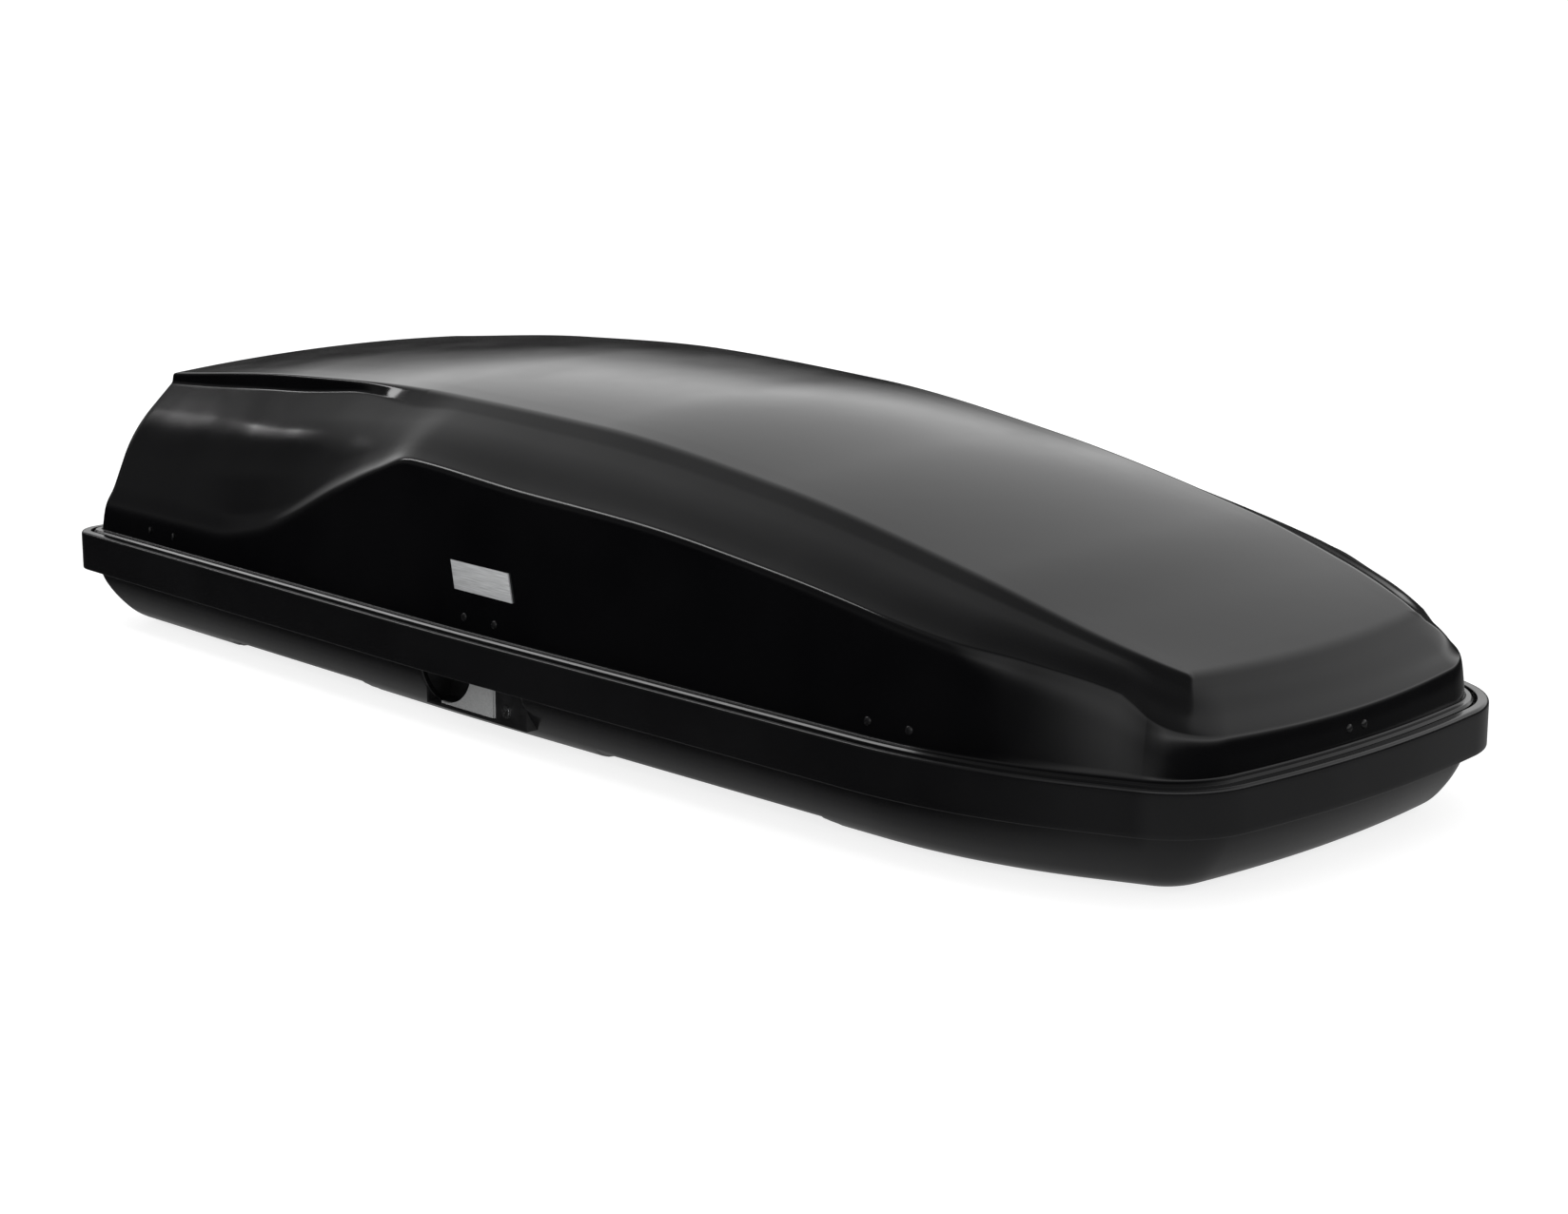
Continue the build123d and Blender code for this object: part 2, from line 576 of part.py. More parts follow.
# Cross arms. The right-hand arms hinge on the left of the tray and carry the lid's right side.
for end, first_x in ARM_X.items():
    for name, side in SIDES.items():
        x = first_x + (ARM_SHIFT if name == "left" else 0.0)
        way = 1 if name == "left" else -1  # side of the arm, along X, that its brackets are on
        cheek = x + way * (ARM_THICK / 2 + ARM_GAP)
        head = x - way * (ARM_THICK / 2 + ARM_GAP)
        with BuildPart() as arm:
            block((x - ARM_THICK / 2, x + ARM_THICK / 2), (-AXIS_Y, AXIS_Y), (AXIS_Z - 8, AXIS_Z + 8))
            for eye in (-1, 1):
                stub(eye, x - ARM_THICK / 2, x + ARM_THICK / 2, ARM_EYE_R)
                stub(eye, x - 10, x + 10, PIVOT_R + PIVOT_FIT, mode=Mode.SUBTRACT)
        arm.part.label = f"cross_arm_{end}_{name}"
        export_step(arm.part, f"parts/cross_arm_{end}_{name}.step")

        with BuildPart() as base_bracket:
            console(cheek + way * CRADLE_WIDTH / 4, -side, CRADLE_WIDTH / 2, ARM_EYE_R)
            stub(-side, cheek + way * CRADLE_WIDTH / 4, head - way * PIVOT_END, PIVOT_R)
            stub(-side, head, head - way * PIVOT_END, PIVOT_R + 2)
        base_bracket.part.label = f"arm_base_bracket_{end}_{name}"
        export_step(base_bracket.part, f"parts/arm_base_bracket_{end}_{name}.step")

        pad_end = LOCK_X[end] - PAD_REACH
        with BuildPart() as lid_bracket:
            far_cheek = cheek + way * BRACKET_CHEEK
            face = wall_pad(min(cheek, far_cheek), pad_end, side)
            block((cheek, far_cheek), (side * AXIS_Y, side * (face + 1)), (AXIS_Z - 5, AXIS_Z + 8))
            stub(side, cheek, far_cheek, ARM_EYE_R - 1)
            stub(side, far_cheek, head - way * PIVOT_END, PIVOT_R)
            stub(side, head, head - way * PIVOT_END, PIVOT_R + 2)
        lid_bracket.part.label = f"arm_lid_bracket_{end}_{name}"
        export_step(lid_bracket.part, f"parts/arm_lid_bracket_{end}_{name}.step")

# Lock rails with a hook over every pin and a lug down to the handle housing
for name, side in SIDES.items():
    hook_low = AXIS_Z + PIN_R + PIN_FIT
    depth = (side * RAIL_Y[0], side * RAIL_Y[1])
    with BuildPart() as lock_rail:
        block(RAIL_X, depth, RAIL_Z)
        for x in LOCK_X.values():
            heel = x - RAIL_TRAVEL - HOOK_HEEL
            block((heel, heel + HEEL_LENGTH), depth, (RAIL_Z[0], hook_low + HOOK_THICK))
            block((heel, heel + HOOK_LENGTH), (depth[0], side * HOOK_REACH),
                  (hook_low, hook_low + HOOK_THICK))
        block(LUG_X, depth, (LUG_LOW, RAIL_Z[1]))
    lock_rail.part.label = f"lock_rail_{name}"
    export_step(lock_rail.part, f"parts/lock_rail_{name}.step")

# Handle housing, lock barrel, key plug, paddle handle and its pivot pin
for name, side in SIDES.items():
    mouth = side * HOUSING_Y[1]
    pivot_x, pivot_y = HANDLE_PIVOT[0], side * HANDLE_PIVOT[1]
    pin_low, pin_high = HOUSING_Z[0] + 1, HOUSING_Z[1] - 1
    barrel_x, barrel_z = BARREL
    with BuildPart() as housing:
        block(HOUSING_X, (side * HOUSING_Y[0], mouth), HOUSING_Z)
        block((HOUSING_X[0] + WALL, BLOCK_TAIL), (side * (HOUSING_Y[0] + WALL), side * HALF_WIDTH),
              (HOUSING_Z[0] + WALL, HOUSING_Z[1] - WALL), mode=Mode.SUBTRACT)
        rod((barrel_x, side * BARREL_Y, barrel_z), (barrel_x, side * HALF_WIDTH, barrel_z), BARREL_R,
            mode=Mode.SUBTRACT)
        rod((pivot_x, pivot_y, pin_low), (pivot_x, pivot_y, pin_high), HANDLE_PIN_R,
            mode=Mode.SUBTRACT)
    housing.part.label = f"handle_housing_{name}"
    export_step(housing.part, f"parts/handle_housing_{name}.step")

    with BuildPart() as pin:
        rod((pivot_x, pivot_y, pin_low), (pivot_x, pivot_y, pin_high), HANDLE_PIN_R)
    pin.part.label = f"handle_pin_{name}"
    export_step(pin.part, f"parts/handle_pin_{name}.step")

    with BuildPart() as barrel:
        rod((barrel_x, side * BARREL_Y, barrel_z), (barrel_x, mouth + side, barrel_z), BARREL_R)
        rod((barrel_x, side * PLUG_Y, barrel_z), (barrel_x, side * HALF_WIDTH, barrel_z),
            PLUG_R + PIVOT_FIT, mode=Mode.SUBTRACT)
    barrel.part.label = f"lock_barrel_{name}"
    export_step(barrel.part, f"parts/lock_barrel_{name}.step")

    with BuildPart() as plug:
        rod((barrel_x, side * (PLUG_Y + 0.2), barrel_z), (barrel_x, mouth + side * 1.5, barrel_z), PLUG_R)
        block((barrel_x - KEYWAY[0] / 2, barrel_x + KEYWAY[0] / 2), (mouth - side * 6, side * HALF_WIDTH),
              (barrel_z - KEYWAY[1] / 2, barrel_z + KEYWAY[1] / 2), mode=Mode.SUBTRACT)
    plug.part.label = f"key_plug_{name}"
    export_step(plug.part, f"parts/key_plug_{name}.step")

    low, high = HANDLE_Z
    plate_out = side * (HOUSING_Y[1] - 0.5)
    plate_in = plate_out - side * PADDLE_THICK
    notch_top, notch_bulge = PADDLE_NOTCH
    with BuildPart() as handle:
        with BuildSketch(Plane.XZ.offset(-plate_in)) as paddle:
            with BuildLine():
                rise = Polyline((HANDLE_TAIL, low + 3), (HANDLE_TAIL, low), (pivot_x - 5, low),
                                (pivot_x - 5, high), (notch_top, high))
                ThreePointArc(rise @ 1, (notch_bulge, low + 16), rise @ 0)
            make_face()
        extrude(amount=plate_in - plate_out)
        block((pivot_x - 6, pivot_x), (pivot_y, plate_out), (low, high))
        rod((pivot_x, pivot_y, low), (pivot_x, pivot_y, high), HANDLE_EYE_R)
        rod((pivot_x, pivot_y, low), (pivot_x, pivot_y, high), HANDLE_PIN_R + PIVOT_FIT,
            mode=Mode.SUBTRACT)
    handle.part.label = f"paddle_handle_{name}"
    export_step(handle.part, f"parts/paddle_handle_{name}.step")
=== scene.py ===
import json
import math

import bmesh
import bpy
import numpy as np
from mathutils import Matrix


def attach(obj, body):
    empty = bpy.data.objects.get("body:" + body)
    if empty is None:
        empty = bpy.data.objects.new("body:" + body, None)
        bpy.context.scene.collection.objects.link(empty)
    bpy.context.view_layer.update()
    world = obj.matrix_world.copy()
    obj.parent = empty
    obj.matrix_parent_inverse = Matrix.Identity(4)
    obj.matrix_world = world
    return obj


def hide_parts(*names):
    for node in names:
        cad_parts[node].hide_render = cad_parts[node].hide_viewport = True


# Roof cargo box. Shapes are worked out in millimetres in the part's own frame: +X runs to the nose,
# +Y to the left of the car, +Z up, and "right" is the side with negative Y.
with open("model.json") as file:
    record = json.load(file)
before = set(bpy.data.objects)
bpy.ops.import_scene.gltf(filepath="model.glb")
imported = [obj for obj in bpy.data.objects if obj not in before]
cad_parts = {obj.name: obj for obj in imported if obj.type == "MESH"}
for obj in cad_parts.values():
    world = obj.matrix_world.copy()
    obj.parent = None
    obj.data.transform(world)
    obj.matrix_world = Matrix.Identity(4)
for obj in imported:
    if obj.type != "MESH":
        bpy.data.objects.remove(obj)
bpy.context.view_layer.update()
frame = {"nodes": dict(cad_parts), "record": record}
MM = 0.001
SIDES = {"right": -1.0, "left": 1.0}

# Plan outline of the rim band: corners from the middle of the tail round the right side to the nose
HALF_OUTLINE = [(-961.0, 0.0), (-946.0, -394.0), (-140.0, -400.66), (690.0, -380.0), (938.0, -268.0),
                (970.4, 0.0)]
HALF_RADII = [1500.0, 38.0, 6000.0, 700.0, 120.0, 1500.0]
LEAST_RADIUS = 18.0
ARC_POINTS = 33

# Rim and lid foot, as heights and as distances inward from the outer face of the band
SHEET = 4.0
BAND = {"low": 78.0, "top": 130.0, "ledge": 13.0}
GUTTER = {"floor": 96.0, "lip": 53.0, "lip_top": 104.0}
FLANGE = {"low": 127.0, "top": 131.0, "inset": 17.0, "chamfer": 2.6}
LID_FOOT = 26.0
LID_SHEET = 3.4
WALL_LEAN = 0.11

# Tray wall below the band: distance inward and height
TRAY_WALL = [(22.0, 78.0), (25.5, 60.0), (38.0, 36.0), (58.0, 11.0), (88.0, 0.0)]
TRAY_FLOOR_INSET = 125.0
CHANNEL_RISE = 16.0
CHANNELS = [(-656.0, -349.0), (90.0, 466.0)]
CHANNEL_SLOPES = (15.0, 30.0)

# Handle pocket's mouth in the tray's wall, clamp slots in its floor, and the straps between the rails
HANDLE_MOUTH = ((-180.0, 4.0), (28.5, 75.5))
MOUTH_RADII = (2.0, 6.0, 16.0, 2.0)
FLOOR_RAIL_X = {-495.0: "rear", 285.0: "front"}
FLOOR_RAIL_Y = 180.0
CLAMP_SLOT = (200.0, 9.0)
SLOT_CUT = (-5.0, 30.0)
MOUTH_CUT = (300.0, 420.0)
STRAP = {"width": 25.0, "thick": 1.5, "reach": 155.0, "edge": 0.5, "rise": 1.4, "under_buckle": 34.0,
         "under_rail": 12.0, "clearance": 0.1}

# Lid rivets: places along the sides, half the distance between the two at an end, their height and heads
RIVET_X = [place + shift for place in (-762.0, -75.0, 588.0) for shift in (-28.0, 28.0)]
END_RIVET_Y = 13.0
RIVET_Z = 148.0
RIVET_HEAD = (5.0, 1.9)
RIVET_SUNK = 1.5

# Roof panel
ROOF_TAIL, ROOF_NOSE = -896.0, 866.0
ROOF_NOSE_BOW = 12.0
ROOF_HALF_WIDTH = 245.0
ROOF_NOSE_HALF = 197.9  # below this half width the crease is the panel's front edge
ROOF_MARGIN = 30.0  # strip between the panel's edge and its inner field
STEP_END = -320.0  # the step under the roof's edge runs from the tail to here
STEP_UNDERCUT = 1.5


# ---------------------------------------------------------------- shape helpers
def smooth(x, places, values):
    """Monotone cubic curve through the given places: in each span the Hermite cubic whose end slopes are
    the harmonic means of the neighbouring chords, or zero where the chords change sign."""
    places, values = np.asarray(places, float), np.asarray(values, float)
    step = np.diff(places)
    chord = np.diff(values) / step
    slope = np.zeros(len(places))
    same = chord[:-1] * chord[1:] > 0
    slope[1:-1][same] = 2 * chord[:-1][same] * chord[1:][same] / (chord[:-1] + chord[1:])[same]
    slope[0], slope[-1] = chord[0], chord[-1]
    x = np.clip(x, places[0], places[-1])
    k = np.clip(np.searchsorted(places, x, side="right") - 1, 0, len(step) - 1)
    t = (x - places[k]) / step[k]
    start = (1 + 2 * t) * (1 - t) ** 2 * values[k] + t * (1 - t) ** 2 * step[k] * slope[k]
    return start + t * t * (3 - 2 * t) * values[k + 1] - t * t * (1 - t) * step[k] * slope[k + 1]


def dense_outline(inset):
    """Closed plan outline moved inward: every side is shifted by inset along its normal, so a corner moves
    by inset (n0 + n1) / (1 + n0.n1), and is rounded by an arc of its radius less the inset."""
    half = np.array(HALF_OUTLINE)
    mirrored = half[-2:0:-1] * [1, -1]
    corners = np.concatenate([half, mirrored])
    radius = np.maximum(np.array(HALF_RADII + HALF_RADII[-2:0:-1]) - inset, LEAST_RADIUS)[:, None]
    ahead = np.roll(corners, -1, axis=0) - corners
    ahead /= np.linalg.norm(ahead, axis=1, keepdims=True)
    inward = np.stack([-ahead[:, 1], ahead[:, 0]], axis=1)
    behind, inward_behind = np.roll(ahead, 1, axis=0), np.roll(inward, 1, axis=0)
    facing = np.sum(inward * inward_behind, axis=1, keepdims=True)
    corners = corners + inset * (inward + inward_behind) / (1 + facing)
    turn = np.arccos(np.clip(facing, -1, 1))
    centre = corners - behind * radius * np.tan(turn / 2) + inward_behind * radius
    angle = turn[:, :, None] * np.linspace(0, 1, ARC_POINTS)[None, :, None]
    arcs = (centre[:, None] - inward_behind[:, None] * radius[:, :, None] * np.cos(angle)
            + behind[:, None] * radius[:, :, None] * np.sin(angle))
    return arcs.reshape(-1, 2)


# Stations round the outline, as positions in the dense outline: the right side from the middle of the
# tail corner to the middle of the nose corner, the nose, the left side back again, and the tail.
def corner_middle(index):
    """Position of the middle of a corner's arc."""
    return index * ARC_POINTS + (ARC_POINTS - 1) / 2


def side_stations(spacing):
    """Evenly spaced places along the right side, with more in its two corners and at the channels' edges."""
    reference = dense_outline(LID_FOOT)
    low, high = int(corner_middle(1)), int(corner_middle(4))
    xs = reference[low:high + 1, 0]
    wanted = np.arange(xs[0], xs[-1], spacing)
    edges = [edge + shift for tail, nose in CHANNELS
             for edge in (tail, tail + CHANNEL_SLOPES[0], nose, nose + CHANNEL_SLOPES[1])
             for shift in (-3.0, -0.8, 0.8, 3.0)]
    wanted = np.sort(np.concatenate([wanted, edges]))
    along = np.interp(wanted, xs, np.arange(low, high + 1))
    corners = [np.linspace(low, 2 * ARC_POINTS - 1, 14), np.linspace(4 * ARC_POINTS, high, 14)]
    return np.unique(np.round(np.concatenate([along, *corners]), 3))


def end_stations(corner):
    """Places from the middle of one corner to the middle of the corner after next, without those two."""
    first, middle, last = (corner + k for k in range(3))
    return np.concatenate([
        np.linspace(corner_middle(first), (first + 1) * ARC_POINTS - 1, 10)[1:],
        np.linspace(middle * ARC_POINTS, (middle + 1) * ARC_POINTS - 1, 21),
        np.linspace(last * ARC_POINTS, corner_middle(last), 10)[:-1],
    ])


RIGHT = side_stations(13.0)
ROUND_TRIP = 11 * ARC_POINTS - 1
STATIONS = np.concatenate([RIGHT, end_stations(4), (ROUND_TRIP - RIGHT)[::-1], end_stations(9)])
ALONG, ACROSS = len(RIGHT), len(end_stations(4))


def ring(inset):
    """The outline at every station, moved inward by inset."""
    dense = dense_outline(inset)
    dense = np.concatenate([dense, dense[:2 * ARC_POINTS]])
    index = np.arange(len(dense))
    return np.stack([np.interp(STATIONS, index, dense[:, k]) for k in (0, 1)], axis=1)


FOOT_RING = ring(LID_FOOT)
INWARD = ring(LID_FOOT + 1) - FOOT_RING
STATION_X = FOOT_RING[:, 0]
ALONG_SHARE = (STATION_X[:ALONG] - STATION_X[0]) / (STATION_X[ALONG - 1] - STATION_X[0])
NOSE_ROW = slice(ALONG, ALONG + ACROSS)
ACROSS_SHARE = np.concatenate([[-1.0], FOOT_RING[NOSE_ROW, 1] / FOOT_RING[ALONG + ACROSS, 1], [1.0]])


def lifted(plan, height):
    """Plan points raised to a height, one for all or one for each."""
    return np.column_stack([plan, np.broadcast_to(height, len(plan))])


def around(shape):
    """Values of a function of (along, across) on the edge of the unit field, in the order of the stations."""
    ones = np.ones(ALONG)
    right = shape(ALONG_SHARE, -ones)
    left = shape(ALONG_SHARE[::-1], ones)
    across = ACROSS_SHARE[1:-1]
    nose = shape(np.ones(ACROSS), across)
    tail = shape(np.zeros(ACROSS), -across)
    return np.concatenate([right, nose, left, tail])


def rounded(corners, reach, counts):
    """Rows along a profile of straight runs with rounded corners. Corner P turns into the quadratic curve
    (1-t)^2 A + 2t(1-t) P + t^2 B, where A and B lie on its two runs, at most `reach` from P and short of
    the runs' middles. Rows close to A and B keep the flat runs flat in their shading."""
    corners = np.asarray(corners, float)
    rows = [corners[0]]
    leave = corners[0]
    for k in range(1, len(corners) - 1):
        back, on = corners[k - 1] - corners[k], corners[k + 1] - corners[k]
        long_back = np.linalg.norm(back, axis=1, keepdims=True) + 1e-9
        long_on = np.linalg.norm(on, axis=1, keepdims=True) + 1e-9
        wide = np.broadcast_to(np.reshape(reach[k - 1], (-1, 1)), long_back.shape)
        a = corners[k] + back * np.minimum(wide / long_back, 0.47)
        b = corners[k] + on * np.minimum(wide / long_on, 0.47)
        rows += [leave + (a - leave) * share for share in (0.1, 0.5, 0.9)]
        for t in np.linspace(0, 1, counts[k - 1]):
            rows.append((1 - t) ** 2 * a + 2 * t * (1 - t) * corners[k] + t * t * b)
        leave = b
    rows += [leave + (corners[-1] - leave) * share for share in (0.1, 0.5, 0.9, 1.0)]
    return np.array(rows)


def grid_faces(rows, columns, closed):
    """Four-cornered faces of a grid of points numbered row by row; closed joins its last column to the
    first."""
    last = columns if closed else columns - 1
    row, column = np.meshgrid(np.arange(rows - 1), np.arange(last), indexing="ij")
    after = (column + 1) % columns
    lower, upper = row * columns, (row + 1) * columns
    return np.stack([lower + column, lower + after, upper + after, upper + column], axis=-1).reshape(-1, 4)


def patch(points, closed=False, flipped=False):
    """A grid of points as (points, faces)."""
    faces = grid_faces(points.shape[0], points.shape[1], closed)
    return points.reshape(-1, 3), faces[:, ::-1] if flipped else faces


def piece(name, patches, body, material, replaces=(), merge=0.02):
    """One object made of patches whose shared edges are merged. It sits at the origin, in metres."""
    points, faces, start = [], [], 0
    for p, f in patches:
        points.append(p)
        faces.append(f + start)
        start += len(p)
    mesh = bpy.data.meshes.new(name)
    mesh.from_pydata((np.concatenate(points) * MM).tolist(), [], np.concatenate(faces).tolist())
    shape = bmesh.new()
    shape.from_mesh(mesh)
    bmesh.ops.remove_doubles(shape, verts=shape.verts, dist=merge * MM)
    shape.to_mesh(mesh)
    shape.free()
    mesh.shade_smooth()
    made = bpy.data.objects.new(name, mesh)
    bpy.context.scene.collection.objects.link(made)
    mesh.materials.append(material)
    if body:
        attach(made, body)
    if replaces:
        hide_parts(*replaces)
    return made


# ---------------------------------------------------------------- materials
def linear(code):
    """An sRGB hex colour as linear RGBA."""
    parts = np.array([int(code[k:k + 2], 16) for k in (1, 3, 5)]) / 255
    return (*np.where(parts <= 0.04045, parts / 12.92, ((parts + 0.055) / 1.055) ** 2.4), 1.0)


def add_node(tree, kind, inputs=None, links=None, **settings):
    """Adds a shader node: `inputs` sets its sockets, `links` feeds them from (node, output), and settings
    are its own."""
    made = tree.nodes.new("ShaderNode" + kind)
    for name, value in settings.items():
        setattr(made, name, value)
    for name, value in (inputs or {}).items():
        made.inputs[name].default_value = value
    for name, (source, output) in (links or {}).items():
        tree.links.new(source.outputs[output], made.inputs[name])
    return made


def finish_material(name, sockets):
    """An empty material with its shader and Object coordinates: (material, tree, shader, coordinates)."""
    material = bpy.data.materials.new(name)
    material.use_nodes = True
    tree = material.node_tree
    shader = tree.nodes["Principled BSDF"]
    for socket, value in sockets.items():
        shader.inputs[socket].default_value = value
    coordinates = add_node(tree, "TexCoord")
    return material, tree, shader, coordinates


def spread(tree, coordinates, size_mm, detail=2.0, stretch=(1.0, 1.0, 1.0)):
    """Noise whose features are about size_mm across, drawn out along an axis where stretch is below 1."""
    mapping = add_node(tree, "Mapping", inputs={"Scale": stretch}, links={"Vector": (coordinates, "Object")})
    return add_node(tree, "TexNoise", inputs={"Scale": 1 / (size_mm * MM), "Detail": detail},
                    links={"Vector": (mapping, "Vector")})


def vary(tree, shader, source, socket, low, high, span=(0.35, 0.65)):
    """Feeds a socket with a pattern, from low to high over the middle of its range."""
    ranged = add_node(tree, "MapRange", inputs={"From Min": span[0], "From Max": span[1], "To Min": low,
                                                "To Max": high}, links={"Value": (source, "Fac")})
    tree.links.new(ranged.outputs["Result"], shader.inputs[socket])


def tint(tree, shader, source, dark, light, span=(0.35, 0.65)):
    """Base colour that wanders between two sRGB colours with a pattern."""
    ramp = add_node(tree, "ValToRGB", links={"Fac": (source, "Fac")})
    for stop, place, code in zip(ramp.color_ramp.elements, span, (dark, light)):
        stop.position, stop.color = place, linear(code)
    tree.links.new(ramp.outputs["Color"], shader.inputs["Base Color"])


def emboss(tree, shader, source, height_mm, output="Fac"):
    """Surface relief of a pattern, height_mm deep."""
    bump = add_node(tree, "Bump", inputs={"Strength": 1.0, "Distance": height_mm * MM},
                    links={"Height": (source, output)})
    tree.links.new(bump.outputs["Normal"], shader.inputs["Normal"])


def gloss_black_cap_sheet():
    # Thermoformed ABS sheet with a glossy acrylic cap: deep black, mirror-like, with the slight long-wave
    # unevenness that forming leaves, and a trace of dust that dulls the gloss in patches.
    material, tree, shader, at = finish_material("gloss_black_cap_sheet", {"IOR": 1.49})
    tint(tree, shader, spread(tree, at, 220, 3), "#040405", "#070708")
    vary(tree, shader, spread(tree, at, 90, 4), "Roughness", 0.10, 0.15)
    emboss(tree, shader, spread(tree, at, 45, 1), 0.05)
    return material


def grained_black_abs():
    # Thermoformed ABS with a fine leather-like haircell: black and satin. The grain is drawn at 2.2 mm,
    # about twice the real one, so that it shows.
    material, tree, shader, at = finish_material("grained_black_abs", {"IOR": 1.53})
    tint(tree, shader, spread(tree, at, 160, 3), "#080809", "#0d0d0e")
    vary(tree, shader, spread(tree, at, 60, 4), "Roughness", 0.15, 0.21)
    emboss(tree, shader, spread(tree, at, 2.2, 2), 0.04)
    return material


def lid_inner_abs():
    # The uncapped back of the lid's sheet: dull black with scuffs from luggage.
    material, tree, shader, at = finish_material("lid_inner_abs", {"IOR": 1.53})
    tint(tree, shader, spread(tree, at, 120, 5), "#131314", "#1d1d1f")
    vary(tree, shader, spread(tree, at, 35, 6), "Roughness", 0.5, 0.68)
    emboss(tree, shader, spread(tree, at, 3, 2), 0.05)
    return material


def moulded_black_nylon():
    # Injection-moulded glass-filled nylon: matt black with a fine spark-eroded texture.
    material, tree, shader, at = finish_material("moulded_black_nylon", {"IOR": 1.53})
    tint(tree, shader, spread(tree, at, 14, 4), "#0a0a0b", "#121213")
    vary(tree, shader, spread(tree, at, 9, 4), "Roughness", 0.42, 0.55)
    emboss(tree, shader, spread(tree, at, 0.9, 2), 0.03)
    return material


def drawn_aluminium():
    # Mill-finish aluminium extrusion: pale grey metal with fine lines drawn along its length.
    material, tree, shader, at = finish_material("drawn_aluminium", {"Metallic": 1.0})
    lines = spread(tree, at, 1.2, 3, stretch=(0.02, 1.0, 1.0))
    tint(tree, shader, lines, "#a9abad", "#c4c6c8")
    vary(tree, shader, lines, "Roughness", 0.3, 0.45)
    emboss(tree, shader, lines, 0.02)
    return material


def zinc_plated_steel():
    # Pressed steel with bright zinc plating: bluish grey metal, slightly cloudy from the bath.
    material, tree, shader, at = finish_material("zinc_plated_steel", {"Metallic": 1.0})
    tint(tree, shader, spread(tree, at, 18, 4), "#9a9c9d", "#b9bbbd")
    vary(tree, shader, spread(tree, at, 7, 4), "Roughness", 0.28, 0.42)
    emboss(tree, shader, spread(tree, at, 1.5, 2), 0.01)
    return material


def bright_rivet_steel():
    # Domed rivet heads in polished steel, with light turning marks from setting.
    material, tree, shader, at = finish_material("bright_rivet_steel", {"Metallic": 1.0})
    tint(tree, shader, spread(tree, at, 3, 3), "#a4a5a6", "#c8c9ca")
    vary(tree, shader, spread(tree, at, 1.5, 3), "Roughness", 0.2, 0.32)
    return material


def black_painted_rivet():
    # Aluminium rivets stoved black: semi-gloss paint with a fine orange peel.
    material, tree, shader, at = finish_material("black_painted_rivet", {"IOR": 1.5})
    tint(tree, shader, spread(tree, at, 4, 3), "#0b0b0c", "#121213")
    vary(tree, shader, spread(tree, at, 2, 3), "Roughness", 0.22, 0.32)
    emboss(tree, shader, spread(tree, at, 1.0, 1), 0.015)
    return material


def polyester_webbing():
    # Woven polyester strap: ribs across its length every 2.4 mm and warp threads every 1.6 mm, drawn a
    # little coarse so that they show; dull, with the soft sheen of the yarn.
    material, tree, shader, at = finish_material(
        "polyester_webbing", {"Roughness": 0.85, "Sheen Weight": 0.3, "Sheen Roughness": 0.5})
    bands = [add_node(tree, "TexWave", wave_type="BANDS", bands_direction=axis,
                      inputs={"Scale": 1 / (20 * spacing * MM) * math.tau, "Distortion": 0.4, "Detail": 1.0},
                      links={"Vector": (at, "Object")}) for axis, spacing in (("Y", 2.4), ("X", 1.6))]
    weave = add_node(tree, "Math", operation="MULTIPLY", links={0: (bands[0], "Fac"), 1: (bands[1], "Fac")})
    ramp = add_node(tree, "ValToRGB", links={"Fac": (weave, "Value")})
    for stop, code in zip(ramp.color_ramp.elements, ("#101012", "#2c2c30")):
        stop.color = linear(code)
    tree.links.new(ramp.outputs["Color"], shader.inputs["Base Color"])
    emboss(tree, shader, weave, 0.25, output="Value")
    return material


def satin_silver_paint():
    # Zinc die casting in satin silver paint: light warm grey, soft-edged highlights, fine metal flake.
    material, tree, shader, at = finish_material("satin_silver_paint", {"Metallic": 0.6})
    tint(tree, shader, spread(tree, at, 1.2, 4), "#a3a4a4", "#c2c3c3")
    vary(tree, shader, spread(tree, at, 12, 3), "Roughness", 0.38, 0.5)
    emboss(tree, shader, spread(tree, at, 0.8, 1), 0.01)
    return material


def brushed_badge_silver():
    # Silver lacquer over brushed ABS: bright grey, half metallic, with fine lines along its length.
    material, tree, shader, at = finish_material("brushed_badge_silver", {"Metallic": 0.3})
    lines = spread(tree, at, 0.9, 3, stretch=(0.03, 1.0, 1.0))
    tint(tree, shader, lines, "#9c9d9e", "#bcbdbe")
    vary(tree, shader, lines, "Roughness", 0.4, 0.5)
    emboss(tree, shader, lines, 0.015)
    return material


def satin_lock_chrome():
    # Lock barrel, plug and pins: plated brass, bright, with hairline wear round the key's slot.
    material, tree, shader, at = finish_material("satin_lock_chrome", {"Metallic": 1.0})
    tint(tree, shader, spread(tree, at, 2.5, 4), "#a9aaab", "#cfd0d1")
    vary(tree, shader, spread(tree, at, 1.2, 5), "Roughness", 0.16, 0.34)
    return material


FINISHES = {
    "lid_gloss": gloss_black_cap_sheet(), "tray_plastic": grained_black_abs(),
    "inner_plastic": lid_inner_abs(), "black_plastic": moulded_black_nylon(),
    "rail_aluminium": drawn_aluminium(), "rivet_steel": bright_rivet_steel(),
    "zinc_steel": zinc_plated_steel(), "black_rivet": black_painted_rivet(),
    "strap_webbing": polyester_webbing(), "handle_silver": satin_silver_paint(),
    "badge_silver": brushed_badge_silver(), "lock_metal": satin_lock_chrome(),
}


